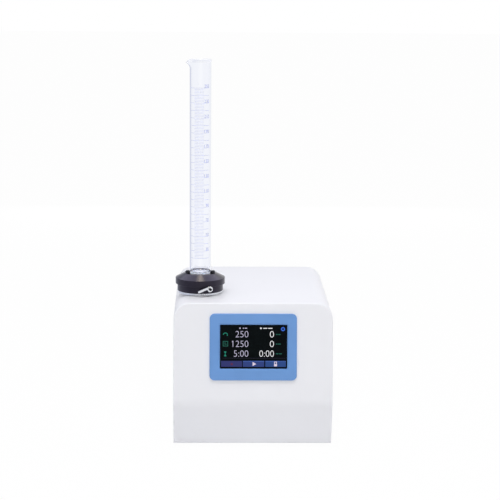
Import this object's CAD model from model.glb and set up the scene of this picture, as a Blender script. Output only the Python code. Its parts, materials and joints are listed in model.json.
"""Dresses a tapped density tester: moulded housing, touch screen, glass cylinder, holder, base and back."""

import json
import math
from operator import attrgetter

import bmesh
import bpy
from bpy.props import FloatProperty, FloatVectorProperty, IntProperty, PointerProperty, StringProperty
from mathutils import Matrix, Vector


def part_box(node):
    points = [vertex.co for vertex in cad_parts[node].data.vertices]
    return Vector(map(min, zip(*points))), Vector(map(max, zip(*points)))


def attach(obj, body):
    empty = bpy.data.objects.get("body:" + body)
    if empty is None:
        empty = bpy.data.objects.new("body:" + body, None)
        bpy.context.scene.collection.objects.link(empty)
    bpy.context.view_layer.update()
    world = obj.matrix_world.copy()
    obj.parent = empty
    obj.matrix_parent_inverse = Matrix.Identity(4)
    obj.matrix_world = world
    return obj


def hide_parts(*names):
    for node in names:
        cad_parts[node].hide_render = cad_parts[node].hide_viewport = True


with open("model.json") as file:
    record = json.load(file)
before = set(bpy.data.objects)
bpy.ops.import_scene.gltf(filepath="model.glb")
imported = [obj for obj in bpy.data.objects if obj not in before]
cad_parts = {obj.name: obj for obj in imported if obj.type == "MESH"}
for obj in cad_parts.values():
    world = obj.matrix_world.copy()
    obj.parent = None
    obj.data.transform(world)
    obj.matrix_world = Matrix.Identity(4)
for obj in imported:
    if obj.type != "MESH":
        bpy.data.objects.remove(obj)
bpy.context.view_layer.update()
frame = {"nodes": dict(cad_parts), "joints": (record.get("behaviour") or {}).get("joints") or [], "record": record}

bl_info = {
    "name": "Tapped density tester",
    "version": (1, 0, 0),
    "blender": (4, 5, 0),
    "location": "View3D > Sidebar > Tester",
    "description": "Models the visible pieces of a tapped density tester around its packed solids",
    "category": "Object",
}

MM = 0.001
ARC_STEPS = 6
# edges bent by less than this many radians aren't rounded
FLAT = 0.1
# play between pieces that slide into each other, in millimetres
PLAY = 0.1


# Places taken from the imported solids, in millimetres

def corners(node):
    """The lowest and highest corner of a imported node, in millimetres."""
    low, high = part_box(node)
    return Vector(low) / MM, Vector(high) / MM


HOUSING_LOW, HOUSING_HIGH = corners("housing")
PLATFORM_LOW, PLATFORM_HIGH = corners("tapping_platform")
DRUM_LOW, DRUM_HIGH = corners("holder_base")
RING_LOW, RING_HIGH = corners("clamp_ring")
TUBE_LOW, TUBE_HIGH = corners("measuring_cylinder")
LEVER = next(joint for joint in frame["joints"] if joint["name"] == "lever_swing")
STATION = Vector((PLATFORM_LOW.x + PLATFORM_HIGH.x, PLATFORM_LOW.y + PLATFORM_HIGH.y, 0)) / 2
HOLDER_Z = DRUM_LOW.z
RING_Z = RING_LOW.z


# Sizes and colours that a user would change

def length(name, description, millimetres):
    """A size property, given in millimetres and kept in metres."""
    return FloatProperty(name=name, description=description, default=millimetres * MM, unit="LENGTH")


def angle(name, description, degrees):
    """An angle property, given in degrees."""
    return FloatProperty(name=name, description=description, default=math.radians(degrees), unit="ROTATION")


def shade(name, description, hex_colour):
    """A colour property, given as an sRGB hex value."""
    return StringProperty(name=name, description=description, default=hex_colour)


class TESTER_PG_housing(bpy.types.PropertyGroup):
    """Sizes and colour of the moulded housing."""

    bend_height: length("Bend height", "Height of the bend in the front above the bottom edge", 70.5)
    bend_radius: length("Bend radius", "Radius of the bend in the front", 40)
    toe_in: length("Toe in", "How far the front runs back from the bend to the bottom edge", 17)
    front_lean: length("Front lean", "How far the front leans back from the bend to the top", 27.5)
    corner_radius: length("Corner radius", "Radius of the two long top corners", 26)
    edge_radius: length("Edge radius", "Radius of the front's outer edges", 2)
    rim_radius: length("Rim radius", "Radius of the back and bottom rims", 0.8)
    wall: length("Wall", "Thickness of the moulded wall", 3.5)
    colour: shade("Colour", "Colour of the housing", "#edeef2")


class TESTER_PG_screen(bpy.types.PropertyGroup):
    """Sizes and colours of the bezel and the touch screen."""

    height: length("Height", "Height of the bezel's middle above the housing's bottom edge", 160.5)
    bezel_width: length("Bezel width", "Width of the bezel", 140)
    bezel_height: length("Bezel height", "Height of the bezel", 107)
    bezel_proud: length("Bezel proud", "How far the bezel stands out of the front", 3)
    bezel_corner: length("Bezel corner", "Corner radius of the bezel", 8)
    bezel_edge: length("Bezel edge", "Radius of the bezel's front edge", 1.6)
    window_width: length("Window width", "Width of the window", 108)
    window_height: length("Window height", "Height of the window", 70.5)
    window_right: length("Window right", "How far the window lies right of the bezel's middle", 0.6)
    window_up: length("Window up", "How far the window lies above the bezel's middle", 0.5)
    window_corner: length("Window corner", "Corner radius of the window", 1.8)
    chamfer: length("Chamfer", "Width of the chamfer round the window", 1.9)
    recess: length("Recess", "How deep the cover glass lies behind the front", 0.8)
    colour: shade("Colour", "Colour of the bezel", "#6b9ad6")
    glass_colour: shade("Glass colour", "Colour of the unlit screen", "#04090b")


class TESTER_PG_cylinder(bpy.types.PropertyGroup):
    """Sizes and colours of the measuring cylinder and its scale."""

    radius: length("Radius", "Outer radius of the glass", 17.5)
    wall: length("Wall", "Thickness of the glass", 1.4)
    floor: length("Floor", "Thickness of the glass bottom", 11.8)
    punt: length("Punt", "Height of the hollow pushed up under the bottom", 7.5)
    floor_round: length("Floor rounding", "Radius where the wall meets the bottom inside", 4)
    bead: length("Bead", "How far the rim bead stands out", 1)
    bead_height: length("Bead height", "Height of the rim bead", 4.8)
    spout_reach: length("Spout reach", "Distance of the spout's tip from the axis", 24.9)
    spout_drop: length("Spout drop", "How far the spout's tip lies below the rim", 6)
    spout_height: length("Spout height", "Height over which the spout is pulled out", 10)
    spout_width: angle("Spout width", "Half of the spout's width around the rim", 40)
    scale_top: length("Scale top", "Height of the 250 mL line above the glass's underside", 315)
    scale_step: length("Scale step", "Height of 10 mL", 12.11)
    line_width: length("Line width", "Width of a scale line", 0.32)
    figure_height: length("Figure height", "Height of a scale figure", 5.2)
    tint: shade("Tint", "Tint of the glass", "#fbfcff")
    ink: shade("Ink", "Colour of the enamelled scale", "#7f8ee0")


class TESTER_PG_holder(bpy.types.PropertyGroup):
    """Sizes and colours of the holder, its lever and the platform under it."""

    drum_radius: length("Drum radius", "Radius of the lower drum", 37.6)
    core_radius: length("Core radius", "Radius of the core inside the clamp ring", 30)
    rim_radius: length("Rim radius", "Radius of the clamp ring's rim", 40.7)
    rim_height: length("Rim height", "Height of the clamp ring's rim", 10.1)
    land_radius: length("Land radius", "Outer radius of the flat land", 26)
    mouth_radius: length("Mouth radius", "Radius of the clamp ring's mouth", 17.9)
    lap: length("Lap", "How far the drum laps over the platform's step", 1.5)
    lap_width: length("Lap width", "Width of the drum's lap", 1.2)
    lip: length("Lip", "Height of the drip lip under the platform's edge", 1.2)
    spigot_radius: length("Spigot radius", "Radius of the platform's spigot", 12)
    spigot_height: length("Spigot height", "Height of the platform's spigot", 8)
    edge: length("Edge", "Radius of the turned edges", 0.5)
    lever_length: length("Lever length", "Length of the lever from its shaft to its tip", 22)
    lever_thickness: length("Lever thickness", "Thickness of the lever", 3.5)
    lever_droop: angle("Lever droop", "Droop of the lever at rest", 18)
    colour: shade("Colour", "Colour of the anodised holder", "#242129")


class TESTER_PG_stage(bpy.types.PropertyGroup):
    """The camera, the floor and the light."""

    camera_place: FloatVectorProperty(
        name="Camera place", description="Where the camera stands", subtype="TRANSLATION",
        default=(-0.06245, -2.64806, 0.77265))
    pitch: angle("Pitch", "How far the camera looks down", 10.264)
    yaw: angle("Yaw", "How far the camera looks to the right", 1.289)
    roll: angle("Roll", "How far the camera is turned about its view", 0.429)
    lens: FloatProperty(name="Lens", description="Focal length on a 36 mm sensor", default=115.04)
    ambient: FloatProperty(name="Ambient", description="Strength of the light from all round", default=0.45)
    overhead: FloatProperty(name="Overhead", description="Power of the lamp overhead", default=27.7)
    strip: FloatProperty(name="Strip", description="Power of the strip lamp over the holder", default=11.5)
    card: FloatProperty(name="Card", description="Power of the card that only gloss shows", default=23)
    fill: FloatProperty(name="Fill", description="Power of the lamp in front", default=10.7)
    side: FloatProperty(name="Side", description="Power of each low lamp at the sides and back", default=6.5)
    rings: IntProperty(name="Rings", description="Steps round a turned piece", default=96)


# Modelling helpers, all in millimetres

def deselect():
    """Object mode, with nothing selected."""
    if bpy.context.mode != "OBJECT":
        bpy.ops.object.mode_set(mode="OBJECT")
    bpy.ops.object.select_all(action="DESELECT")


def select_only(obj):
    """Selects one object and makes it active."""
    deselect()
    obj.select_set(True)
    bpy.context.view_layer.objects.active = obj


def named(name):
    """Names the new primitive and puts its place into its mesh."""
    obj = bpy.context.object
    obj.name = name
    obj.data.name = name
    bpy.ops.object.transform_apply(location=True, rotation=True, scale=True)
    return obj


def block(name, low, high):
    """A block between two corners."""
    deselect()
    low, high = Vector(low), Vector(high)
    bpy.ops.mesh.primitive_cube_add(size=1, location=(low + high) / 2 * MM, scale=(high - low) * MM)
    return named(name)


def rod(name, radius, start, end, sides=48):
    """A round bar between two points."""
    deselect()
    start, end = Vector(start), Vector(end)
    run = end - start
    bpy.ops.mesh.primitive_cylinder_add(
        vertices=sides, radius=radius * MM, depth=run.length * MM, location=(start + end) / 2 * MM,
        rotation=run.to_track_quat("Z", "Y").to_euler())
    return named(name)


def pick(obj, kind, test):
    """Edit mode, with only those vertices, edges or faces selected whose points all pass the test."""
    select_only(obj)
    bpy.ops.object.mode_set(mode="EDIT")
    bpy.ops.mesh.select_mode(type=kind)
    bpy.ops.mesh.select_all(action="DESELECT")
    form = bmesh.from_edit_mesh(obj.data)
    items = {"VERT": form.verts, "EDGE": form.edges, "FACE": form.faces}[kind]
    for item in items:
        points = [item.co] if kind == "VERT" else [vertex.co for vertex in item.verts]
        item.select_set(all(test(point / MM) for point in points))
    form.select_flush_mode()
    bmesh.update_edit_mesh(obj.data)


def bevel(obj, test, width, steps, along=None):
    """Rounds the bent edges whose points pass the test, or only those that run along one axis."""
    pick(obj, "EDGE", test)
    form = bmesh.from_edit_mesh(obj.data)
    for edge in form.edges:
        run = (edge.verts[0].co - edge.verts[1].co).normalized()
        if edge.calc_face_angle(0) < FLAT or (along is not None and abs(run[along]) < 0.9):
            edge.select_set(False)
    form.select_flush_mode()
    bmesh.update_edit_mesh(obj.data)
    bpy.ops.mesh.bevel(offset=width * MM, segments=steps, affect="EDGES", clamp_overlap=False)
    deselect()


def shift(obj, test, move):
    """Moves the vertices that pass the test."""
    pick(obj, "VERT", test)
    bpy.ops.transform.translate(value=Vector(move) * MM)
    deselect()


def modify(obj, kind, **settings):
    """Adds a modifier and applies it."""
    select_only(obj)
    modifier = obj.modifiers.new(kind.lower(), kind)
    for key, value in settings.items():
        setattr(modifier, key, value)
    bpy.ops.object.modifier_apply(modifier=modifier.name)


def combine(obj, tool, operation="DIFFERENCE"):
    """Cuts the tool out of a piece, or joins it on, and removes the tool."""
    modify(obj, "BOOLEAN", operation=operation, object=tool, solver="EXACT")
    bpy.data.objects.remove(tool)


def soften(obj, width, steps=2, limit=40):
    """Rounds all the sharp edges of a piece a little."""
    modify(obj, "BEVEL", width=width * MM, segments=steps, limit_method="ANGLE",
           angle_limit=math.radians(limit), harden_normals=False, use_clamp_overlap=True)


def join(name, pieces):
    """Makes one object of several."""
    select_only(pieces[0])
    for piece in pieces[1:]:
        piece.select_set(True)
    if len(pieces) > 1:
        bpy.ops.object.join()
    pieces[0].name = name
    pieces[0].data.name = name
    return pieces[0]


def copies(obj, places):
    """The piece, made at the origin, at each place, as one list of objects with their own meshes."""
    made = []
    for place in places:
        select_only(obj)
        bpy.ops.object.duplicate()
        copy = bpy.context.object
        copy.matrix_world = place
        bpy.ops.object.transform_apply(location=True, rotation=True, scale=True)
        made.append(copy)
    bpy.data.objects.remove(obj)
    return made


def at(point, turn=None):
    """A placing matrix at a point given in millimetres."""
    return Matrix.Translation(Vector(point) * MM) @ (turn or Matrix.Identity(4))


def put(obj, matrix):
    """Places a piece that was modelled at the origin."""
    select_only(obj)
    obj.matrix_world = matrix
    bpy.ops.object.transform_apply(location=True, rotation=True, scale=True)
    return obj


def rounded(outline):
    """An outline of (radius, height, corner radius), with each corner drawn as an arc."""
    points = []
    for index, (across, up, corner) in enumerate(outline):
        here = Vector((across, up))
        if not corner:
            points.append(here)
            continue
        before = (Vector(outline[index - 1][:2]) - here).normalized()
        after = (Vector(outline[index + 1][:2]) - here).normalized()
        half = before.angle(after) / 2
        centre = here + (before + after).normalized() * corner / math.sin(half)
        start = here + before * corner / math.tan(half) - centre
        end = here + after * corner / math.tan(half) - centre
        turn = -start.angle_signed(end)
        for step in range(ARC_STEPS + 1):
            points.append(centre + Matrix.Rotation(turn * step / ARC_STEPS, 2) @ start)
    return points


def turned(name, outline, axis=STATION, steps=None):
    """Draws a profile from one vertex, point by point, and spins it round a vertical axis."""
    points = rounded(outline)
    deselect()
    bpy.ops.mesh.primitive_plane_add(size=MM)
    obj = named(name)
    bpy.ops.object.mode_set(mode="EDIT")
    bpy.ops.mesh.select_mode(type="VERT")
    bpy.ops.mesh.select_all(action="SELECT")
    bpy.ops.mesh.merge(type="CENTER")
    bpy.ops.transform.translate(value=(axis + Vector((points[0].x, 0, points[0].y))) * MM)
    for last, point in zip(points, points[1:]):
        step = point - last
        bpy.ops.mesh.extrude_vertices_move(TRANSFORM_OT_translate={"value": Vector((step.x, 0, step.y)) * MM})
    bpy.ops.mesh.select_all(action="SELECT")
    bpy.ops.mesh.spin(steps=steps or bpy.context.scene.tester_stage.rings, angle=math.tau,
                      center=axis * MM, axis=(0, 0, 1))
    bpy.ops.mesh.select_all(action="SELECT")
    bpy.ops.mesh.remove_doubles(threshold=0.002 * MM)
    bpy.ops.mesh.normals_make_consistent(inside=False)
    deselect()
    return obj


def flat_text(body, low, size, depth, thin):
    """Figures that fill a box in the X-Z plane and face the front, with their strokes thinned."""
    deselect()
    bpy.ops.object.text_add()
    bpy.context.object.data.body = body
    bpy.context.object.data.extrude = 1
    bpy.context.object.data.offset = -thin
    bpy.ops.object.convert(target="MESH")
    obj = bpy.context.object
    pick(obj, "VERT", lambda p: True)
    bpy.ops.mesh.remove_doubles(threshold=0.0001)
    deselect()
    spread = [[vertex.co[axis] for vertex in obj.data.vertices] for axis in range(3)]
    start = Vector([min(values) for values in spread])
    span = Vector([max(values) for values in spread]) - start
    scale = Vector((size[0] / span.x, size[1] / span.y, depth / span.z)) * MM
    stand = Matrix.Rotation(math.radians(90), 4, "X")
    middle = Vector((0, 0, span.z / 2))
    flat = Matrix.Diagonal(scale).to_4x4() @ Matrix.Translation(-start - middle)
    return put(obj, at((low[0], 0, low[1])) @ stand @ flat)


def finish(obj, material, body, nodes=(), limit=35):
    """Smooths a piece, gives it its material and puts it on its body."""
    select_only(obj)
    bpy.ops.object.shade_smooth_by_angle(angle=math.radians(limit))
    modify(obj, "WEIGHTED_NORMAL", keep_sharp=True)
    obj.data.materials.clear()
    obj.data.materials.append(material)
    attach(obj, body)
    if nodes:
        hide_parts(*nodes)
    return obj


def front_slopes():
    """The rise of the upper front in metres, and the angles of the lower and of the upper front."""
    housing = bpy.context.scene.tester_housing
    rise = (HOUSING_HIGH.z - HOUSING_LOW.z) * MM - housing.bend_height
    return rise, math.atan(housing.toe_in / housing.bend_height), math.atan(housing.front_lean / rise)


def front_meet():
    """Where the two flats of the front would meet in front of the bend's arc, in millimetres."""
    toe, lean = front_slopes()[1:]
    skew = (math.cos(lean) - math.cos(toe)) / (math.sin(toe) + math.sin(lean))
    radius = bpy.context.scene.tester_housing.bend_radius / MM
    return HOUSING_LOW.y - radius * (1 / (math.cos(toe) + skew * math.sin(toe)) - 1)


def front_frame():
    """The leaning frame of the display: right, inwards, up the face."""
    housing = bpy.context.scene.tester_housing
    height = bpy.context.scene.tester_screen.height
    rise, _, lean = front_slopes()
    depth = front_meet() * MM + housing.front_lean * (height - housing.bend_height) / rise
    return Matrix.Translation((0, depth, HOUSING_LOW.z * MM + height)) @ Matrix.Rotation(-lean, 4, "X")


def window_block(name, lap, front, back):
    """A block over the screen's window, wider by a lap all round, in the frame of the display."""
    sizes = bpy.context.scene.tester_screen
    half = Vector((sizes.window_width / 2, 0, sizes.window_height / 2)) / MM + Vector((lap, 0, lap))
    middle = Vector((sizes.window_right, 0, sizes.window_up)) / MM
    return block(name, middle - half + Vector((0, front, 0)), middle + half + Vector((0, back, 0)))


# Materials

def linear(hex_colour):
    """An sRGB hex colour as linear red, green, blue and alpha."""
    parts = [int(hex_colour[i:i + 2], 16) / 255 for i in (1, 3, 5)]
    return [c / 12.92 if c <= 0.04045 else ((c + 0.055) / 1.055) ** 2.4 for c in parts] + [1.0]


def add(material, kind, values=None, links=None, **settings):
    """Adds a node with its settings, its constant inputs and its links."""
    node = material.node_tree.nodes.new(kind)
    for key, value in settings.items():
        setattr(node, key, value)
    for key, value in (values or {}).items():
        node.inputs[key].default_value = value
    for key, socket in (links or {}).items():
        material.node_tree.links.new(socket, node.inputs[key])
    return node


def new_material(name, sockets):
    """A material with its shader's constant sockets set."""
    material = bpy.data.materials.new(name)
    material.use_nodes = True
    shader = material.node_tree.nodes["Principled BSDF"]
    for key, value in sockets.items():
        shader.inputs[key].default_value = value
    return material, shader


def link(material, socket, shader, key):
    """Links a socket to one of a shader's inputs."""
    material.node_tree.links.new(socket, shader.inputs[key])


def tone(colour):
    """A hex colour as it is, or one that a property of the scene holds."""
    return colour if colour.startswith("#") else attrgetter(colour)(bpy.context.scene)


def per_mm(size):
    """A noise scale whose blotches are about this many millimetres wide."""
    return 1 / (size * MM)


def per_wave(pitch):
    """A wave scale whose bands are this many millimetres apart."""
    return math.tau / (20 * pitch * MM)


# Finishes of two tones: the shader's constants, both tones, the width of their patches in millimetres, the
# range of roughness, and any grain as width and depth in millimetres and strength. Most real grain is finer,
# about 0.1 to 0.2 mm wide, and is drawn coarser to show.
FINISHES = {
    # injection moulded ABS: satin white, whose spark eroded grain breaks up the highlights
    "white_abs": ({"IOR": 1.53}, "#ecedf1", "tester_housing.colour", 70, (0.42, 0.48), (0.9, 0.03, 0.25)),
    # ABS coloured through: satin, with a finer grain than the housing
    "blue_abs": ({"IOR": 1.53}, "#6795d0", "tester_screen.colour", 40, (0.36, 0.46), (0.7, 0.02, 0.2)),
    # hardened cover glass over a dark display: smooth, with faint finger smears
    "cover_glass": ({"IOR": 1.51, "Specular IOR Level": 0.3}, "tester_screen.glass_colour", "#070d0f", 18,
                    (0.06, 0.14), None),
    # ground underside of the cylinder: white and matt, with the wheel's fine grit
    "ground_glass": ({"IOR": 1.473}, "#e2e5f0", "#eef0f8", 2, (0.6, 0.75), (0.4, 0.03, 0.3)),
    # screen printed, fired enamel: matt blue, a little uneven where it was fired
    "blue_enamel": ({"IOR": 1.5}, "tester_cylinder.ink", "#93a0e8", 3, (0.45, 0.6), None),
    # turned aluminium, dyed black and sealed: satin and dark, with fine turning marks
    "black_anodised": ({"Specular IOR Level": 0.33, "Specular Tint": linear("#e0d8f6"), "IOR": 1.6,
                        "Anisotropic": 0.85, "Anisotropic Rotation": 0.25},
                       "#1c1a21", "tester_holder.colour", 12, (0.26, 0.32), None),
    # blackened screw steel: dark, oily and half glossy
    "black_oxide": ({"Metallic": 0.8}, "#29292d", "#3c3c42", 4, (0.2, 0.32), (0.5, 0.02, 0.2)),
    # turned stainless steel: pale, with circular feed marks that spread the highlights
    "turned_stainless": ({"Metallic": 1.0, "Anisotropic": 0.6, "Anisotropic Rotation": 0.25},
                         "#e0e2e5", "#eceef0", 15, (0.22, 0.32), None),
    # chrome plate on a cast lever: mirror bright, with a faint ripple of the casting under it
    "chrome_plate": ({"Metallic": 1.0}, "#e2e4e7", "#f1f2f3", 6, (0.06, 0.14), (3, 0.05, 0.15)),
    # moulded rubber: matt and slightly dusty
    "black_rubber": ({"IOR": 1.5}, "#1c1c1e", "#29292b", 8, (0.7, 0.85), (0.6, 0.04, 0.3)),
    # powder coated sheet steel: pale grey with an orange peel
    "grey_powder_coat": ({"IOR": 1.5}, "#d2d4d7", "#d6d8db", 30, (0.42, 0.52), (1.1, 0.06, 0.3)),
    # zinc plated steel: cool grey with cloudy patches
    "zinc_plate": ({"Metallic": 1.0}, "#a3a7ac", "#b9bcc1", 9, (0.28, 0.42), (0.8, 0.02, 0.2)),
    # glass filled PBT, as sockets are moulded: black with a fine matt grain
    "black_pbt": ({"IOR": 1.54}, "#19191b", "#232326", 10, (0.45, 0.6), (0.5, 0.02, 0.25)),
    # milled aluminium: bright, with straight tool marks along one way
    "milled_aluminium": ({"Metallic": 1.0}, "#b4b7bb", "#c8cacd", 20, (0.26, 0.38), None),
    # sintered bronze: warm, porous and oil dark in its pores
    "bearing_bronze": ({"Metallic": 1.0}, "#93713a", "#b08d4f", 2, (0.35, 0.5), (0.4, 0.03, 0.3)),
    # hardened and ground steel: grey, smooth and half bright
    "ground_steel": ({"Metallic": 1.0}, "#878c92", "#9da2a8", 10, (0.18, 0.28), (0.3, 0.01, 0.15)),
    # baked enamel on a motor can: dark grey and half glossy
    "motor_enamel": ({"IOR": 1.5}, "#3f4246", "#4d5054", 15, (0.3, 0.42), (1.0, 0.03, 0.2)),
    # PVC sheath: dark grey and slightly waxy
    "cable_sheath": ({"IOR": 1.53}, "#2c2d30", "#38393d", 12, (0.4, 0.52), (1.5, 0.02, 0.2)),
    # cast silicone: off white and soft looking
    "pale_silicone": ({"IOR": 1.41, "Subsurface Weight": 0.1}, "#d9dadd", "#e6e7ea", 10, (0.5, 0.62),
                      (0.8, 0.03, 0.2)),
}


def two_tone(name):
    """A finish from the table, with its shader and its coordinates."""
    sockets, dark, light, patch, rough, grain = FINISHES[name]
    material, shader = new_material(name, sockets)
    place = add(material, "ShaderNodeTexCoord").outputs["Object"]
    cloud = add(material, "ShaderNodeTexNoise", {"Scale": per_mm(patch), "Detail": 3}, {"Vector": place})
    ramp = add(material, "ShaderNodeValToRGB", None, {"Fac": cloud.outputs["Fac"]})
    for element, position, colour in zip(ramp.color_ramp.elements, (0.3, 0.7), (dark, light)):
        element.position = position
        element.color = linear(tone(colour))
    spread = add(material, "ShaderNodeMapRange", {"To Min": rough[0], "To Max": rough[1]},
                 {"Value": cloud.outputs["Fac"]})
    link(material, ramp.outputs["Color"], shader, "Base Color")
    link(material, spread.outputs["Result"], shader, "Roughness")
    if grain:
        width, depth, strength = grain
        noise = add(material, "ShaderNodeTexNoise", {"Scale": per_mm(width), "Detail": 2}, {"Vector": place})
        bump = add(material, "ShaderNodeBump", {"Strength": strength, "Distance": depth * MM},
                   {"Height": noise.outputs["Fac"]})
        link(material, bump.outputs["Normal"], shader, "Normal")
    return material, shader, place


def plain(name):
    """A finish that needs no more than the table says."""
    return two_tone(name)[0]


def turned_metal(name, strength):
    """A finish with feed marks round the station's axis: about 0.15 mm apart, drawn at 0.5 mm to show."""
    material, shader, place = two_tone(name)
    around = add(material, "ShaderNodeTangent", direction_type="RADIAL", axis="Z")
    link(material, around.outputs["Tangent"], shader, "Tangent")
    moved = add(material, "ShaderNodeMapping", {"Location": -STATION * MM}, {"Vector": place})
    rings = add(material, "ShaderNodeTexWave", {"Scale": per_wave(0.5), "Distortion": 0.6, "Detail": 1},
                {"Vector": moved.outputs["Vector"]}, wave_type="RINGS", rings_direction="Z")
    bump = add(material, "ShaderNodeBump", {"Strength": strength, "Distance": 0.02 * MM},
               {"Height": rings.outputs["Fac"]})
    link(material, bump.outputs["Normal"], shader, "Normal")
    return material


def milled_aluminium():
    """Milled aluminium, with its tool marks 0.8 mm apart."""
    material, shader, place = two_tone("milled_aluminium")
    marks = add(material, "ShaderNodeTexWave", {"Scale": per_wave(0.8), "Distortion": 1}, {"Vector": place},
                wave_type="BANDS", bands_direction="DIAGONAL")
    bump = add(material, "ShaderNodeBump", {"Strength": 0.15, "Distance": 0.02 * MM},
               {"Height": marks.outputs["Fac"]})
    link(material, bump.outputs["Normal"], shader, "Normal")
    return material


def solder_resist():
    """Green solder resist on a circuit board: glossy, with copper tracks that show as paler lines."""
    material, shader = new_material("solder_resist", {"IOR": 1.5, "Roughness": 0.3})
    place = add(material, "ShaderNodeTexCoord").outputs["Object"]
    tracks = add(material, "ShaderNodeTexBrick", {
        "Color1": linear("#1d5a36"), "Color2": linear("#22653d"), "Mortar": linear("#2f7a4b"),
        "Scale": per_mm(12), "Mortar Size": 0.04}, {"Vector": place})
    link(material, tracks.outputs["Color"], shader, "Base Color")
    return material


def borosilicate():
    """Drawn borosilicate tube: clear, faintly blue, with long draw lines up its wall."""
    tint = bpy.context.scene.tester_cylinder.tint
    material, shader = new_material("borosilicate", {
        "Base Color": linear(tint), "Roughness": 0.0, "IOR": 1.473, "Transmission Weight": 1.0})
    place = add(material, "ShaderNodeTexCoord").outputs["Object"]
    drawn = add(material, "ShaderNodeMapping", {"Scale": (1, 1, 0.03)}, {"Vector": place})
    noise = add(material, "ShaderNodeTexNoise", {"Scale": per_mm(7)}, {"Vector": drawn.outputs["Vector"]})
    bump = add(material, "ShaderNodeBump", {"Strength": 0.08, "Distance": 0.1 * MM},
               {"Height": noise.outputs["Fac"]})
    link(material, bump.outputs["Normal"], shader, "Normal")
    return material


def lit(name, hex_colour, strength):
    """Lit display pixels: their rows are 0.25 mm apart, drawn at 0.5 mm to show."""
    material, shader = new_material(name, {
        "Base Color": linear("#0a0c0e"), "Roughness": 0.3, "Emission Strength": strength})
    place = add(material, "ShaderNodeTexCoord").outputs["Object"]
    rows = add(material, "ShaderNodeTexWave", {"Scale": per_wave(0.5)}, {"Vector": place},
               wave_type="BANDS", bands_direction="Z")
    ramp = add(material, "ShaderNodeValToRGB", None, {"Fac": rows.outputs["Fac"]})
    bright, between_rows = linear(hex_colour), 0.88
    ramp.color_ramp.elements[0].color = [between_rows * part for part in bright[:3]] + [1]
    ramp.color_ramp.elements[1].color = bright
    link(material, ramp.outputs["Color"], shader, "Emission Color")
    return material


# each slot's maker, with what it is given
MAKERS = {
    "white_housing": (plain, "white_abs"), "blue_bezel": (plain, "blue_abs"),
    "screen_glass": (plain, "cover_glass"), "plate_steel": (plain, "zinc_plate"),
    "grey_panel": (plain, "grey_powder_coat"), "rubber_black": (plain, "black_rubber"),
    "screw_steel": (plain, "zinc_plate"), "circuit_green": (solder_resist,),
    "black_plastic": (plain, "black_pbt"), "machined_aluminium": (milled_aluminium,),
    "bearing_bronze": (plain, "bearing_bronze"), "hard_steel": (plain, "ground_steel"),
    "motor_grey": (plain, "motor_enamel"), "platform_metal": (turned_metal, "turned_stainless", 0.35),
    "black_anodised": (turned_metal, "black_anodised", 0.3), "black_steel": (plain, "black_oxide"),
    "pad_white": (plain, "pale_silicone"), "clear_glass": (borosilicate,),
    "bright_chrome": (plain, "chrome_plate"), "cable_grey": (plain, "cable_sheath"),
}
made_materials = {}


def slot_material(slot):
    """The material that stands for one of the record's slots, made once."""
    if slot not in made_materials:
        maker, *details = MAKERS[slot]
        made_materials[slot] = maker(*details)
    return made_materials[slot]


def node_slots():
    """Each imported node's material slot."""
    return {part["node"]: part["material_slot"] for part in frame["record"]["subparts"]}


# Operators, one for each piece or group of like pieces

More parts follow.
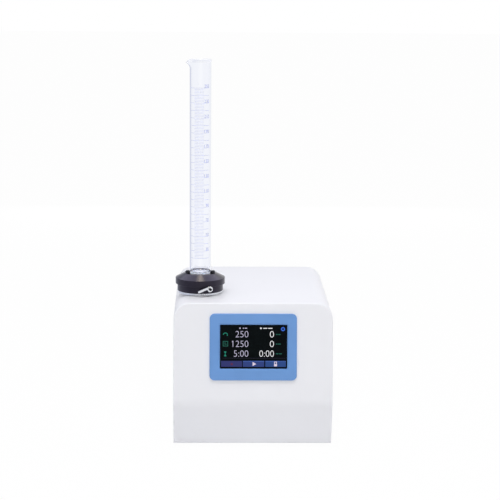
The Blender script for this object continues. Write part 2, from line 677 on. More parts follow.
class TESTER_OT_housing(bpy.types.Operator):
    """Models the moulded housing with its bend, its round corners and its openings"""

    bl_idname = "tester.housing"
    bl_label = "Housing"

    def execute(self, context):
        sizes = context.scene.tester_housing
        low, high, meet = HOUSING_LOW, HOUSING_HIGH, front_meet()
        corner, bend_z = sizes.corner_radius / MM, low.z + sizes.bend_height / MM
        rise, toe, lean = front_slopes()
        reach = sizes.bend_radius / MM * math.tan((toe + lean) / 2)
        near, near_bend = 0.05, 1.2
        shell = block("housing_shell", (low.x, meet, low.z), (high.x, high.y, high.z))

        def on(value, wanted):
            return abs(value - wanted) < near

        def on_bottom(p):
            return on(p.z, low.z)

        def on_back(p):
            return on(p.y, high.y)

        def face_y(z):
            """Where the flats of the front lie at a height."""
            if z > bend_z:
                return meet + sizes.front_lean * (z - bend_z) / rise
            return meet + sizes.toe_in * (bend_z - z) / sizes.bend_height

        def on_outline(p):
            """On the outer edge between the front and the sides, the corners or the top."""
            slack = near_bend if abs(p.z - bend_z) < 2 * reach else near
            if abs(p.y - face_y(p.z)) > slack:
                return False
            spot = Vector((abs(p.x) - high.x + corner, p.z - high.z + corner))
            if spot.y < near:
                return on(abs(p.x), high.x)
            if spot.x < near:
                return on(p.z, high.z)
            return on(spot.length, corner)

        pick(shell, "FACE", lambda p: True)
        bpy.ops.mesh.bisect(plane_co=(0, 0, bend_z * MM), plane_no=(0, 0, 1))
        deselect()
        shift(shell, lambda p: on(p.y, meet) and on_bottom(p), (0, sizes.toe_in / MM, 0))
        shift(shell, lambda p: on(p.y, meet) and on(p.z, high.z), (0, sizes.front_lean / MM, 0))
        for side in (low.x, high.x):
            pick(shell, "EDGE", lambda p: on(p.x, side) and on(p.z, bend_z))
            bpy.ops.mesh.dissolve_edges(use_verts=False)
        pick(shell, "EDGE", lambda p: on_back(p) and on(p.z, bend_z))
        bpy.ops.mesh.dissolve_edges(use_verts=True)
        deselect()
        bevel(shell, lambda p: on(abs(p.x), high.x) and on(p.z, high.z), corner, 12, 1)
        bevel(shell, lambda p: on(p.y, meet) and on(p.z, bend_z), reach, 10)
        bevel(shell, on_outline, sizes.edge_radius / MM, 5)
        for open_side in (on_bottom, on_back):
            pick(shell, "FACE", open_side)
            bpy.ops.mesh.delete(type="FACE")
        modify(shell, "SOLIDIFY", thickness=sizes.wall, offset=-1, use_even_offset=True,
               use_quality_normals=True)
        for rim in (on_bottom, on_back):
            bevel(shell, rim, sizes.rim_radius / MM, 2)
        through, window_lip, seal_lap = 10, 7, 2
        combine(shell, put(window_block("opening", window_lip, -through, through), front_frame()))
        seal_low, seal_high = corners("spindle_seal")
        top, depth = STATION + Vector((0, 0, high.z)), Vector((0, 0, through))
        combine(shell, rod("hole", (seal_high.x - seal_low.x) / 2 - seal_lap, top - depth, top + depth, 96))
        finish(shell, slot_material("white_housing"), "body", ["housing"])
        return {"FINISHED"}


class TESTER_OT_bezel(bpy.types.Operator):
    """Models the coloured bezel with soft edges and a chamfered window"""

    bl_idname = "tester.bezel"
    bl_label = "Bezel"

    def execute(self, context):
        sizes = context.scene.tester_screen
        half_w, half_h = sizes.bezel_width / MM / 2, sizes.bezel_height / MM / 2
        proud, chamfer = sizes.bezel_proud / MM, sizes.chamfer / MM
        plate = block("screen_bezel", (-half_w, -proud, -half_h), (half_w, 0, half_h))
        bevel(plate, lambda p: True, sizes.bezel_corner / MM, 12, 1)
        bevel(plate, lambda p: abs(p.y + proud) < 0.01, sizes.bezel_edge / MM, 5)
        over, through = 0.01, 5
        window = window_block("window", 0, chamfer - proud, through)
        bevel(window, lambda p: True, sizes.window_corner / MM, 6, 1)
        pick(window, "FACE", lambda p: p.y < 0)
        wide = (1 + 2 * sizes.chamfer / sizes.window_width, 1, 1 + 2 * sizes.chamfer / sizes.window_height)
        bpy.ops.mesh.extrude_region_move(TRANSFORM_OT_translate={"value": (0, -(chamfer + over) * MM, 0)})
        bpy.ops.transform.resize(value=wide, center_override=(sizes.window_right, 0, sizes.window_up))
        deselect()
        combine(plate, window)
        put(plate, front_frame())
        finish(plate, slot_material("blue_bezel"), "body", ["display_bezel"])
        return {"FINISHED"}


class TESTER_OT_screen(bpy.types.Operator):
    """Models the cover glass and the lit figures, symbols and keys behind it"""

    bl_idname = "tester.screen"
    bl_label = "Screen"

    # the figure that is set, its left and width, the one reached, its left and width, and the bottom of both
    lines = (("250", -29.0, 20.5, "0", 26.1, 6.5, 15.0), ("1250", -33.6, 25.1, "0", 26.1, 6.5, -0.5),
             ("5:00", -31.9, 23.4, "0:00", 9.2, 23.4, -16.1))
    # name, left, width, tint and colour of the keys along the bottom
    keys = (("stop", -52.1, 33.6, "violet", "#2c3270"), ("start", -17.1, 34.2, "navy", "#2b4083"),
            ("print", 18.9, 33.0, "blue", "#26498b"))
    key_z = -32.4
    key_h = 9.6
    figure_h = 10.1
    # thickness of the lit film, drawn thick enough to stand clear of the glass
    film = 0.06

    def figures(self, first, thinned):
        """The figures of one column."""
        made = []
        for row in self.lines:
            body, left, wide = row[first:first + 3]
            made.append(flat_text(body, (left, row[6]), (wide, self.figure_h), self.film, thinned))
        return made

    def bars(self, *spots):
        """Flat lit bars, each given by its left, its bottom, its width and its height."""
        return [block("bar", (x, -self.film, z), (x + w, 0, z + h)) for x, z, w, h in spots]

    def disc(self, x, z, radius, sides=24, turn=0):
        """A flat lit disc, or a regular shape of few sides."""
        obj = rod("disc", radius, (0, -self.film, 0), (0, 0, 0), sides)
        return put(obj, at((x, 0, z), Matrix.Rotation(math.radians(turn), 4, "Y")))

    def ring(self, x, z, radius, width, start=0, sweep=math.tau):
        """A flat lit ring or arc."""
        steps, overlap = 24, 1.05
        chord = 2 * (radius + width / 2) * math.sin(abs(sweep) / steps / 2) * overlap
        pieces = []
        for index in range(steps):
            turn = start + sweep * (index + 0.5) / steps
            piece = block("step", (-chord / 2, -self.film, -width / 2), (chord / 2, 0, width / 2))
            spot = Vector((x, 0, z)) + Vector((math.cos(turn), 0, math.sin(turn))) * radius
            pieces.append(put(piece, at(spot, Matrix.Rotation(math.pi / 2 - turn, 4, "Y"))))
        return join("ring", pieces)

    def show(self, name, pieces, material, colour, strength):
        """Puts lit pieces on the glass."""
        sizes = bpy.context.scene.tester_screen
        obj = join(name, pieces)
        middle = Vector((sizes.window_right, sizes.recess - self.film * MM / 2, sizes.window_up))
        put(obj, front_frame() @ Matrix.Translation(middle))
        finish(obj, lit(material, colour, strength), "body")

    def cover(self, sizes):
        """The cover glass, which laps behind the bezel."""
        lap, thick, front = 5, 2, sizes.recess / MM
        cover = window_block("screen_glass", lap, front, front + thick)
        soften(cover, 0.25)
        put(cover, front_frame())
        finish(cover, slot_material("screen_glass"), "body", ["touch_glass"])

    def execute(self, context):
        self.cover(context.scene.tester_screen)
        wanted = self.figures(0, 0.016)
        flag = block("flag", (-2.4, -self.film, 0), (0, 0, 1.0))
        wanted.append(put(flag, at((-32.6, 0, 8.6), Matrix.Rotation(math.radians(-38), 4, "Y"))))
        wanted += [self.disc(-21.9, 29.6, 1.2)] + self.bars((-17.4, 28.9, 2.0, 1.4), (-14.2, 28.9, 3.6, 1.4))
        self.show("screen_set_figures", wanted, "lit_lilac", "#c9c4de", 0.95)
        found = self.figures(3, 0.014) + [self.disc(11.6, 29.6, 1.4)]
        found += self.bars((15.5, 28.9, 6.4, 1.3), (23.4, 28.9, 6.8, 1.3))
        self.show("screen_actual_figures", found, "lit_white", "#f4f4f6", 1.0)
        self.show("screen_ring", [self.ring(47.1, 28.3, 2.4, 1.7)], "lit_blue", "#3b6fe0", 0.9)
        symbols = [self.ring(-45.3, 18.6, 3.4, 1.3, math.radians(20), math.radians(150))]
        symbols += self.bars((-42.9, 17.6, 1.6, 1.6))
        symbols += [self.disc(-45.5, -9.7, 2.1, 3, 180), self.disc(-45.5, -13.6, 2.1, 3)]
        symbols += self.bars((-47.4, -8.6, 3.8, 0.9), (-47.4, -15.6, 3.8, 0.9))
        self.show("screen_symbols", symbols, "lit_teal", "#1f9c82", 0.7)
        counter = self.bars((-49.5, 0.4, 8.6, 1.2), (-49.5, 7.8, 8.6, 1.2), (-49.5, 1.6, 1.2, 6.2),
                            (-42.1, 1.6, 1.2, 6.2), (-47.2, 3.4, 4.0, 1.1), (-47.2, 5.4, 2.6, 1.1))
        counter += self.bars((35.8, 18.9, 2.8, 1.6), (39.6, 18.9, 3.6, 1.6), (35.8, 3.5, 2.4, 1.6),
                             (39.2, 3.5, 4.2, 1.6), (35.8, -12.1, 4.2, 1.6), (41.0, -12.1, 4.4, 1.6))
        self.show("screen_counter", counter, "lit_dim_teal", "#17705f", 0.6)
        for name, left, width, tint, colour in self.keys:
            key = self.bars((left, self.key_z, width, self.key_h))
            self.show(f"screen_{name}_key", key, f"lit_{tint}_key", colour, 0.9)
        edges = self.bars((-17.1, -23.9, 34.2, 1.1), (18.9, -23.9, 33.0, 1.1))
        self.show("screen_divider", self.bars((-50.2, -18.7, 101.3, 0.4)), "lit_dim_violet", "#2c2644", 0.8)
        self.show("screen_key_edges", edges, "lit_key_edge", "#4f70c4", 0.9)
        # the signs lie over the keys
        self.film = 0.12
        self.show("screen_stop_sign", self.bars((-36.6, -29.7, 3.2, 3.2)), "lit_dim_red", "#6d2448", 0.8)
        signs = [self.disc(0.4, -27.8, 3.9, 3, 90)]
        signs += self.bars((32.9, -31.4, 4.8, 3.4), (33.2, -28.0, 1.1, 3.2), (36.3, -28.0, 1.1, 3.2),
                           (33.2, -24.9, 4.2, 1.0))
        self.show("screen_key_signs", signs, "lit_pink_white", "#e9d9ea", 0.95)
        return {"FINISHED"}


class TESTER_OT_cylinder(bpy.types.Operator):
    """Blows the measuring cylinder, with its rim bead and its spout"""

    bl_idname = "tester.cylinder"
    bl_label = "Measuring cylinder"

    def execute(self, context):
        sizes = context.scene.tester_cylinder
        out, wall = sizes.radius / MM, sizes.wall / MM
        bead, bead_h = sizes.bead / MM, sizes.bead_height / MM
        inner = out - wall
        low, rim = TUBE_LOW.z, TUBE_HIGH.z
        floor = low + sizes.floor / MM
        pull_h, punt = sizes.spout_height / MM, sizes.punt / MM
        start = rim - pull_h - bead_h
        # rows of points that let the wall bend into the spout
        steps = [start + pull_h * row / 10 for row in range(1, 10)]
        outline = [(0, low + punt, 0), (out * 0.35, low + punt * 0.92, 4), (out * 0.65, low + punt * 0.45, 4),
                   (out - 3, low, 0.5), (out, low, 1.6)]
        outline += [(out, z, 0) for z in steps]
        outline += [(out, rim - bead_h, 0.3), (out + bead, rim - bead_h + 1.6 * bead, 0.9)]
        outline += [(out + bead, rim, 1.1), (inner, rim, 0.6)]
        outline += [(inner, z, 0) for z in reversed(steps)]
        outline += [(inner, floor, sizes.floor_round / MM), (0, floor - 0.8, 0)]
        glass = turned("glass_cylinder", outline, steps=128)
        pull = sizes.spout_reach / MM - out - bead
        for vertex in glass.data.vertices:
            spot = vertex.co / MM - STATION
            share = (spot.z - start) / (rim - start)
            turn = abs(math.atan2(spot.y, -spot.x)) / sizes.spout_width
            if share <= 0 or turn >= 1 or spot.xy.length < inner - 1:
                continue
            swell = (1 - turn ** 2) ** 2
            away = spot.xy.normalized() * pull * swell * share ** 1.3
            down = sizes.spout_drop / MM * swell * swell * share ** 2
            pinch = 0.105 * spot.y * swell * share * min(1, turn * 2)
            vertex.co += Vector((away.x, away.y - pinch, -down)) * MM
        finish(glass, slot_material("clear_glass"), "holder", ["measuring_cylinder"], 60)
        # lamps and mirrored light pass the clear wall, down to the underside, which is ground
        glass.visible_shadow = glass.visible_glossy = False
        glass.data.materials.append(plain("ground_glass"))
        for face in glass.data.polygons:
            if face.normal.z < -0.2 and face.center.z / MM < low + punt + 1:
                face.material_index = 1
        return {"FINISHED"}


class TESTER_OT_scale(bpy.types.Operator):
    """Prints the blue scale and its figures on the glass"""

    bl_idname = "tester.scale"
    bl_label = "Scale"

    film = 0.06

    def arc(self, name, radius, z, width, start, end):
        """A printed line round the glass, between two angles in degrees from its front."""
        middle, half = STATION + Vector((0, 0, z)), Vector((0, 0, width / 2))
        line = rod(name, radius, middle - half, middle + half, 120)

        def printed(point):
            spot = point - STATION
            turn = math.degrees(math.atan2(spot.x, -spot.y))
            return start - 0.01 <= turn <= end + 0.01

        pick(line, "FACE", printed)
        bpy.ops.mesh.select_all(action="INVERT")
        bpy.ops.mesh.delete(type="FACE")
        deselect()
        modify(line, "SOLIDIFY", thickness=self.film * MM, offset=1)
        return line

    def repeat(self, line, count, step):
        """Repeats a line downwards."""
        modify(line, "ARRAY", count=count, use_relative_offset=False, use_constant_offset=True,
               constant_offset_displace=(0, 0, -step * MM))

    def wrapped(self, obj, radius):
        """Bends flat figures round the glass."""
        for vertex in obj.data.vertices:
            spot = vertex.co / MM
            turn = spot.x / radius
            reach = radius + self.film - spot.y
            vertex.co = (STATION + Vector((reach * math.sin(turn), -reach * math.cos(turn), spot.z))) * MM

    def execute(self, context):
        sizes = context.scene.tester_cylinder
        radius = sizes.radius / MM + 0.02
        top = TUBE_LOW.z + sizes.scale_top / MM
        step, width = sizes.scale_step / MM, sizes.line_width / MM
        tens, small, slim = 24, step / 5, width * 0.8
        long_line = self.arc("scale_tens", radius, top, width, -60, 51)
        self.repeat(long_line, tens, step)
        short_line = self.arc("scale_twos", radius, top - small, slim, -33, 18)
        self.repeat(short_line, 4, small)
        self.repeat(short_line, tens - 1, step)
        figures = []
        high, right, ratio = sizes.figure_height / MM, 15.2, 0.56
        last, least = 250, 30
        for value in range(last, least - 1, -20):
            body = str(value)
            z = top - (last - value) / 10 * step + width
            wide = high * ratio * len(body)
            figures.append(flat_text(body, (right - wide, z), (wide, high), self.film, 0.012))
        figures = join("scale_figures", figures)
        self.wrapped(figures, radius)
        ink = plain("blue_enamel")
        for piece in (long_line, short_line, figures):
            finish(piece, ink, "holder")
        return {"FINISHED"}


class TESTER_OT_holder(bpy.types.Operator):
    """Turns the holder's drum and clamp ring, and makes their cap screws"""

    bl_idname = "tester.holder"
    bl_label = "Holder"

    def execute(self, context):
        sizes = context.scene.tester_holder
        edge = sizes.edge / MM
        drum_r, core_r = sizes.drum_radius / MM, sizes.core_radius / MM
        mouth, spigot = sizes.mouth_radius / MM, sizes.spigot_radius / MM + PLAY
        pad = corners("foot_pad")
        bore_top = HOLDER_Z + sizes.spigot_height / MM + 0.5
        lap, lap_w = sizes.lap / MM, sizes.lap_width / MM
        drum = turned("holder_drum", [
            (0, bore_top, 0), (spigot, bore_top, 0), (spigot, HOLDER_Z, 0.4), (drum_r - lap_w, HOLDER_Z, 0),
            (drum_r - lap_w, HOLDER_Z - lap, 0.2), (drum_r, HOLDER_Z - lap, 0.5),
            (drum_r, RING_Z, edge), (core_r, RING_Z, 0), (core_r, DRUM_HIGH.z, edge),
            (mouth, DRUM_HIGH.z, 0.3), (mouth, pad[0].z, 0), (0, pad[0].z, 0)])
        finish(drum, slot_material("black_anodised"), "holder", ["holder_base"])
        rim_r, rim_z = sizes.rim_radius / MM, RING_Z + sizes.rim_height / MM
        land, top, inside = sizes.land_radius / MM, RING_HIGH.z, DRUM_HIGH.z + 0.3
        seal_low, seal_high = corners("tube_seal")
        groove = (seal_high.x - seal_low.x) / 2 + PLAY
        core = core_r + PLAY
        ring = turned("clamp_ring_turned", [
            (core, inside, 0), (core, RING_Z, 0.4), (rim_r, RING_Z, 0.9), (rim_r, rim_z, edge),
            (land, top, 0.7), (mouth, top, 0.5), (mouth, seal_high.z, 0), (groove, seal_high.z, 0),
            (groove, seal_low.z, 0), (mouth, seal_low.z, 0), (mouth, inside, 0), (core, inside, 0)])
        finish(ring, slot_material("black_anodised"), "holder", ["clamp_ring"])
        glass_r, skin = context.scene.tester_cylinder.radius / MM + PLAY / 2, mouth - PLAY / 2
        seat, sleeve = pad[1].z + 0.2, top - 0.4
        bulge, bulge_low, bulge_high = groove - 2 * PLAY, seal_low.z + PLAY, seal_high.z - PLAY
        seal = turned("tube_seal_cast", [
            (glass_r, seat, 0), (skin, seat, 0), (skin, bulge_low, 0), (bulge, bulge_low, 0.4),
            (bulge, bulge_high, 0.4), (skin, bulge_high, 0), (skin, sleeve, 0), (glass_r, sleeve, 0),
            (glass_r, seat, 0)])
        finish(seal, slot_material("pad_white"), "holder", ["tube_seal"])
        low, high = corners("clamp_screws")
        head_r, head_h, shank_r = 4, high.z - top, 2
        sides, knurl = 48, 0.965
        aside, ahead = high.x - head_r - STATION.x, low.y + head_r
        head = rod("clamp_cap_screws", head_r, (0, 0, 0), (0, 0, head_h), sides)
        # a knurl, a little coarser than a real one: every second side vertex of the head lies deeper
        for vertex in head.data.vertices:
            turn = math.atan2(vertex.co.y, vertex.co.x)
            if round(turn / math.tau * sides) % 2:
                vertex.co.xy *= knurl
        bevel(head, lambda p: abs(p.z - head_h) < 0.01, 1.4, 4)
        combine(head, rod("socket", shank_r, (0, 0, head_h / 2), (0, 0, head_h + 1), 6))
        combine(head, rod("shank", shank_r, (0, 0, low.z - top), (0, 0, 0.5), 32), "UNION")
        screws = copies(head, [at((STATION.x + side * aside, ahead, top)) for side in (-1, 1)])
        screws = join("clamp_cap_screws", screws)
        finish(screws, slot_material("black_steel"), "holder", ["clamp_screws"])
        return {"FINISHED"}


class TESTER_OT_lever(bpy.types.Operator):
    """Forges the chrome lock lever with its round eye and its tapered handle"""

    bl_idname = "tester.lever"
    bl_label = "Lock lever"

    def execute(self, context):
        sizes = context.scene.tester_holder
        reach, thick = sizes.lever_length / MM, sizes.lever_thickness / MM
        eye_r, hole_r = 4.7, 2.0
        tip_w, neck_w, rise, inset, sway = 2.1, 2.0, 3.3, 0.3, 0.9
        eye = rod("lock_lever_chrome", eye_r, (0, 0, 0), (thick, 0, 0), 64)
        soften(eye, 0.7, 3)
        handle = block("handle", (inset, -reach, -neck_w), (thick - inset, 0.6, neck_w))
        pick(handle, "FACE", lambda p: True)
        bpy.ops.mesh.subdivide(number_cuts=3)
        deselect()
        for vertex in handle.data.vertices:
            share = max(0, -vertex.co.y / MM / reach)
            vertex.co.z *= 1 + (tip_w / neck_w - 1) * share ** 1.5
            vertex.co.x += sway * MM * share ** 2
        modify(handle, "SUBSURF", levels=2, render_levels=2)
        # the handle leaves the eye along its upper side
        put(handle, at((0, 0, rise), Matrix.Rotation(sizes.lever_droop, 4, "X")))
        combine(eye, handle, "UNION")
        combine(eye, rod("eye_hole", hole_r, (-1, 0, 0), (thick + 1, 0, 0), 48))
        pin = Vector(LEVER["pos_m"]) / MM
        along = (pin - STATION).xy
        turn = math.atan2(along.y, along.x)
        put(eye, at(pin, Matrix.Rotation(turn, 4, "Z")))
        finish(eye, slot_material("bright_chrome"), "lever", ["lock_lever"], 50)
        return {"FINISHED"}


class TESTER_OT_platform(bpy.types.Operator):
    """Turns the tapping platform with its spigot"""

    bl_idname = "tester.platform"
    bl_label = "Tapping platform"

    def execute(self, context):
        sizes = context.scene.tester_holder
        radius = (PLATFORM_HIGH.x - PLATFORM_LOW.x) / 2
        spigot, bolt, head, lip_w = sizes.spigot_radius / MM, 4.1, 6.8, 5
        lap, lip = sizes.lap / MM + PLAY / 2, sizes.lip / MM
        step, inside = (sizes.drum_radius - sizes.lap_width) / MM - PLAY, radius - lip_w
        low, seat, top = PLATFORM_LOW.z, HOLDER_Z, PLATFORM_HIGH.z
        disc = turned("platform_disc", [
            (bolt, low, 0), (inside, low, 0.3), (inside, low - lip, 0.2), (radius, low - lip, 0.4),
            (radius, seat - lap, 0.5), (step, seat - lap, 0), (step, seat, 0), (spigot, seat, 0),
            (spigot, top, 0.8), (head, top, 0.4), (head, seat, 0), (bolt, seat, 0), (bolt, low, 0)])
        finish(disc, slot_material("platform_metal"), "spindle", ["tapping_platform"])
        return {"FINISHED"}


class TESTER_OT_feet(bpy.types.Operator):
    """Moulds the rubber feet with soft edges and a tread ring"""

    bl_idname = "tester.feet"
    bl_label = "Rubber feet"

    def execute(self, context):
        low, high = corners("rubber_feet")
        radius, tall, bore, deep = 12, high.z - low.z, 2.1, 6
        spread = Vector((high.x - radius, high.y - radius, 0))
        foot = turned("rubber_feet_moulded", [
            (0, 0.4, 0), (radius - 5, 0.4, 0.5), (radius - 4.4, 0, 0.4), (radius - 1.4, 0, 0.9),
            (radius, 2.6, 1.2), (radius, tall, 0.6), (bore, tall, 0), (bore, tall - deep, 0),
            (0, tall - deep, 0)], Vector(), 64)
        places = [at((x * spread.x, y * spread.y, 0)) for x in (-1, 1) for y in (-1, 1)]
        feet = join("rubber_feet_moulded", copies(foot, places))
        finish(feet, slot_material("rubber_black"), "body", ["rubber_feet"])
        return {"FINISHED"}


class TESTER_OT_back(bpy.types.Operator):
    """Softens the edges of the sheet metal and of the sockets on the back"""

    bl_idname = "tester.back"
    bl_label = "Back and base"

    edges = {"rear_panel": 0.35, "base_plate": 0.5, "power_inlet": 0.4, "fuse_drawer": 0.35,
             "switch_frame": 0.4, "switch_rocker": 0.45, "data_socket": 0.2}

    def execute(self, context):
        groups = frame["record"]["behaviour"]["bodies"]
        bodies = {node: body for body, nodes in groups.items() for node in nodes}
        slots = node_slots()
        for node, width in self.edges.items():
            piece = frame["nodes"][node].copy()
            piece.data = piece.data.copy()
            piece.parent = None
            context.scene.collection.objects.link(piece)
            for key in [key for key in piece.keys() if key.startswith("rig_")]:
                del piece[key]
            piece.name = node + "_soft"
            piece.data.name = piece.name
            pick(piece, "VERT", lambda p: True)
            bpy.ops.mesh.remove_doubles(threshold=0.001 * MM)
            bpy.ops.mesh.customdata_custom_splitnormals_clear()
            bpy.ops.mesh.dissolve_limited(angle_limit=math.radians(0.5))
            deselect()
            soften(piece, width, 2, 50)
            finish(piece, slot_material(slots[node]), bodies[node], [node])
        return {"FINISHED"}


class TESTER_OT_screws(bpy.types.Operator):
    """Makes the pan head screws of the back and the base, with their cross recesses"""

    bl_idname = "tester.screws"
    bl_label = "Pan head screws"

    radius = 4
    rise = 2.4

    def pan_head(self, name, long):
        """A pan head screw that stands on z = 0 with its shank below."""
        radius, rise, shank_r = self.radius, self.rise, 2
        head = turned(name, [
            (0, rise, 0), (radius * 0.5, rise, 0.8), (radius, rise * 0.45, 0.5), (radius, 0, 0.15),
            (shank_r, 0, 0), (shank_r, -long + 0.8, 0.4), (1.2, -long, 0), (0, -long, 0)], Vector(), 48)
        for turn in (20, 110):
            slot = block("slot", (-2.1, -0.45, rise - 1.3), (2.1, 0.45, rise + 1))
            combine(head, put(slot, Matrix.Rotation(math.radians(turn), 4, "Z")))
        return head

    def drive(self, name, node, long, turn, places):
        """Sets like screws of one node at their places, turned about X."""
        stand = Matrix.Rotation(math.radians(turn), 4, "X")
        screws = join(name, copies(self.pan_head(name, long), [at(place, stand) for place in places]))
        finish(screws, slot_material("screw_steel"), "body", [node])

    def execute(self, context):
        inset = Vector((self.radius, self.radius, self.radius))
        low, high = corners("panel_screws")
        seat = corners("rear_panel")[1].y
        first, last = low + inset, high - inset
        places = [(x, seat, z) for x in (first.x, last.x) for z in (first.z, last.z)]
        self.drive("panel_pan_screws", "panel_screws", seat - low.y, -90, places)
        low, high = corners("base_screws")
        seat = corners("base_plate")[0].z
        first, last = low + inset, high - inset
        places = [(x, y, seat) for x in (first.x, last.x) for y in (first.y, last.y)]
        self.drive("base_pan_screws", "base_screws", high.z - seat, 180, places)
        return {"FINISHED"}


class TESTER_OT_inside(bpy.types.Operator):
    """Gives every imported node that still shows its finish"""

    bl_idname = "tester.inside"
    bl_label = "Finish of the solids"

    def execute(self, context):
        for node, slot in node_slots().items():
            mesh = frame["nodes"][node].data
            mesh.materials.clear()
            mesh.materials.append(slot_material(slot))
        return {"FINISHED"}


class TESTER_OT_stage(bpy.types.Operator):
    """Sets the floor, the light, the white background and the camera"""

    bl_idname = "tester.stage"
    bl_label = "Stage"

    def flagged(self, material, across):
        """White, but far aside glass and gloss see a lavender grey flag, and on the right a paler one."""
        path = add(material, "ShaderNodeLightPath")
        bent = add(material, "ShaderNodeMath", None, {
            0: path.outputs["Is Transmission Ray"], 1: path.outputs["Is Glossy Ray"]}, operation="MAXIMUM")
        other = add(material, "ShaderNodeMath", {0: 1.0}, {1: bent.outputs[0]}, operation="SUBTRACT")
        left = add(material, "ShaderNodeMapRange", {"From Min": -0.5, "From Max": -0.15}, {"Value": across})
        right = add(material, "ShaderNodeMapRange", {
            "From Min": 0.2, "From Max": 0.55, "To Min": 1.0, "To Max": 0.7}, {"Value": across})
        both = add(material, "ShaderNodeMath", None, {
            0: left.outputs["Result"], 1: right.outputs["Result"]}, operation="MULTIPLY")
        clear = add(material, "ShaderNodeMath", None, {0: both.outputs[0], 1: other.outputs[0]},
                    operation="MAXIMUM")
        mix = add(material, "ShaderNodeMix", {6: linear("#d0d4e4"), 7: linear("#ffffff")},
                  {0: clear.outputs[0]}, data_type="RGBA")
        return mix.outputs[2]

    def floor(self):
        """A pale floor that the camera sees nearly white, with the object's shadow kept."""
        deselect()
        bpy.ops.mesh.primitive_plane_add(size=30)
        plane = named("studio_floor")
        material, shader = new_material("studio_floor", {
            "Base Color": linear("#f4f4f5"), "Roughness": 0.9, "Specular IOR Level": 0.0})
        path = add(material, "ShaderNodeLightPath")
        seen = path.outputs["Is Camera Ray"]
        for ray in ("Is Transmission Ray", "Is Glossy Ray"):
            both = {0: seen, 1: path.outputs[ray]}
            seen = add(material, "ShaderNodeMath", None, both, operation="MAXIMUM").outputs[0]
        share = add(material, "ShaderNodeMath", {1: 0.975}, {0: seen}, operation="MULTIPLY")
        place = add(material, "ShaderNodeTexCoord").outputs["Object"]
        aside = add(material, "ShaderNodeVectorMath", None, {0: place}, operation="NORMALIZE")
        split = add(material, "ShaderNodeSeparateXYZ", None, {0: aside.outputs["Vector"]})
        colour = self.flagged(material, split.outputs["X"])
        glow = add(material, "ShaderNodeEmission", None, {"Color": colour})
        mixed = add(material, "ShaderNodeMixShader", None, {
            0: share.outputs[0], 1: shader.outputs["BSDF"], 2: glow.outputs["Emission"]})
        link(material, mixed.outputs["Shader"], material.node_tree.nodes["Material Output"], "Surface")
        plane.data.materials.append(material)

    def surroundings(self, sizes):
        """White where the camera or glass looks, even light on the rest, dim in gloss behind the camera."""
        world = bpy.data.worlds.new("studio")
        bpy.context.scene.world = world
        world.use_nodes = True
        ground = world.node_tree.nodes["Background"]
        path = add(world, "ShaderNodeLightPath")
        place = add(world, "ShaderNodeTexCoord")
        split = add(world, "ShaderNodeSeparateXYZ", None, {0: place.outputs["Generated"]})
        # the ceiling is as grey as the flag on the left
        aside = add(world, "ShaderNodeMath", {1: -0.9}, {0: split.outputs["Z"], 2: split.outputs["X"]},
                    operation="MULTIPLY_ADD")
        link(world, self.flagged(world, aside.outputs[0]), ground, "Color")
        behind = add(world, "ShaderNodeMapRange", {
            "From Min": -1.0, "From Max": -0.1, "To Min": 0.1, "To Max": 1.0}, {"Value": split.outputs["Y"]})
        mirror = add(world, "ShaderNodeMath", None, {
            0: behind.outputs["Result"], 1: path.outputs["Is Glossy Ray"]}, operation="MULTIPLY")
        soft = add(world, "ShaderNodeMath", {1: sizes.ambient}, {0: path.outputs["Is Diffuse Ray"]},
                   operation="MULTIPLY")
        level = path.outputs["Is Camera Ray"]
        for socket in (path.outputs["Is Transmission Ray"], mirror.outputs[0], soft.outputs[0]):
            both = {0: level, 1: socket}
            level = add(world, "ShaderNodeMath", None, both, operation="MAXIMUM").outputs[0]
        link(world, level, ground, "Strength")

    def lamp(self, name, place, target, size, power, colour):
        """A soft rectangular lamp that points at a target."""
        deselect()
        place, target = Vector(place), Vector(target)
        turn = (target - place).to_track_quat("-Z", "Y").to_euler()
        bpy.ops.object.light_add(type="AREA", location=place, rotation=turn)
        light = bpy.context.object
        light.name = name
        light.data.shape = "RECTANGLE"
        light.data.size, light.data.size_y = size
        light.data.energy = power
        light.data.color = linear(colour)[:3]
        return light

    def camera(self, sizes):
        """The photograph's view."""
        bpy.ops.object.camera_add()
        camera = bpy.context.object
        turn = Matrix.Rotation(-sizes.yaw, 4, "Z") @ Matrix.Rotation(math.pi / 2 - sizes.pitch, 4, "X")
        turn = turn @ Matrix.Rotation(sizes.roll, 4, "Z")
        camera.matrix_world = Matrix.Translation(sizes.camera_place) @ turn
        camera.data.sensor_fit = "HORIZONTAL"
        camera.data.sensor_width = 36
        camera.data.lens = sizes.lens
        bpy.context.scene.camera = camera

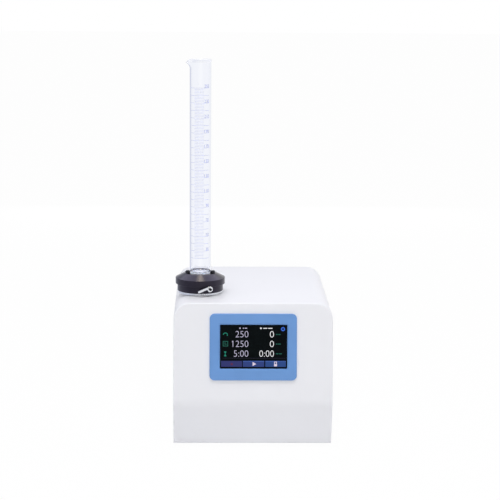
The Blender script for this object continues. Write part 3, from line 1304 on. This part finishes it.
    def execute(self, context):
        sizes = context.scene.tester_stage
        self.floor()
        self.surroundings(sizes)
        white, middle = "#f8f8fd", (0, 0, 0.15)
        above = self.lamp("overhead_lamp", (0, -0.7, 2.3), (-0.03, -0.03, 0.2), (1.4, 1.0),
                          sizes.overhead, white)
        front = self.lamp("front_lamp", (0.1, -2.4, 1.2), middle, (2.2, 0.6), sizes.fill, "#fffcf4")
        above.visible_glossy = front.visible_glossy = False
        for name, place in (("left", (-2.2, 0.2, 0.3)), ("right", (2.2, 0.2, 0.3)), ("back", (0, 2.4, 0.3))):
            low = self.lamp(name + "_lamp", place, middle, (1.4, 0.4), sizes.side, white)
            low.visible_glossy = low.visible_transmission = False
        strip = self.lamp("strip_lamp", (-0.09, 0.9, 2.4), (-0.09, 0, 0.25), (0.3, 1.2),
                          sizes.strip, "#fff3cc")
        card = self.lamp("bright_card", (-0.08, 1.5, 2.3), (-0.08, 0, 0.25), (3.0, 1.7),
                         sizes.card, "#eae6ff")
        # these two only show in gloss
        strip.visible_diffuse = card.visible_diffuse = False
        self.camera(sizes)
        context.scene.view_settings.view_transform = "Standard"
        return {"FINISHED"}


class TESTER_PT_panel(bpy.types.Panel):
    """Lists the pieces of the tester"""

    bl_idname = "TESTER_PT_panel"
    bl_label = "Tapped density tester"
    bl_space_type = "VIEW_3D"
    bl_region_type = "UI"
    bl_category = "Tester"

    def draw(self, context):
        for operator in PIECES:
            self.layout.operator(operator.bl_idname)


GROUPS = {"tester_housing": TESTER_PG_housing, "tester_screen": TESTER_PG_screen,
          "tester_cylinder": TESTER_PG_cylinder, "tester_holder": TESTER_PG_holder,
          "tester_stage": TESTER_PG_stage}
PIECES = (TESTER_OT_stage, TESTER_OT_inside, TESTER_OT_housing, TESTER_OT_bezel, TESTER_OT_screen,
          TESTER_OT_platform, TESTER_OT_holder, TESTER_OT_cylinder, TESTER_OT_scale, TESTER_OT_lever,
          TESTER_OT_feet, TESTER_OT_back, TESTER_OT_screws)


def register():
    """Adds the classes and the scene's properties."""
    for kind in (*GROUPS.values(), *PIECES, TESTER_PT_panel):
        bpy.utils.register_class(kind)
    for name, group in GROUPS.items():
        setattr(bpy.types.Scene, name, PointerProperty(type=group))


def unregister():
    """Takes the scene's properties and the classes away again."""
    for name in GROUPS:
        delattr(bpy.types.Scene, name)
    for kind in reversed((*GROUPS.values(), *PIECES, TESTER_PT_panel)):
        bpy.utils.unregister_class(kind)


def main():
    """Registers the add-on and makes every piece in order."""
    register()
    for piece in PIECES:
        group, name = piece.bl_idname.split(".")
        getattr(getattr(bpy.ops, group), name)()


if __name__ == "__main__":
    main()
